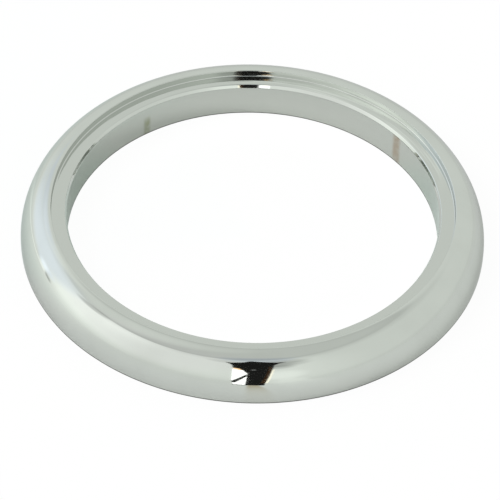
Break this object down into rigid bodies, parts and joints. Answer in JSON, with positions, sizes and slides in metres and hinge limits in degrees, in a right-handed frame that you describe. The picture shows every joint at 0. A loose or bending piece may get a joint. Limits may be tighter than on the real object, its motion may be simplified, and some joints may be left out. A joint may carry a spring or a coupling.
{
  "type": "handle escutcheon",
  "caption": "Chrome-plated ring with a domed face, a through bore and a shallow recessed seat, which covers the gap behind a faucet or valve handle.",
  "frame": {"origin": "centre of the bore on the flat back face", "axes": "+Z along the ring's axis, from the back face to the domed front; X and Y are any two directions across it"},
  "size_m": [0.0636, 0.0636, 0.0061],
  "materials": {
    "chrome_plate": "polished"
  },
  "bodies": {
    "root": {"escutcheon_ring": "chrome_plate"}
  },
  "joints": []
}
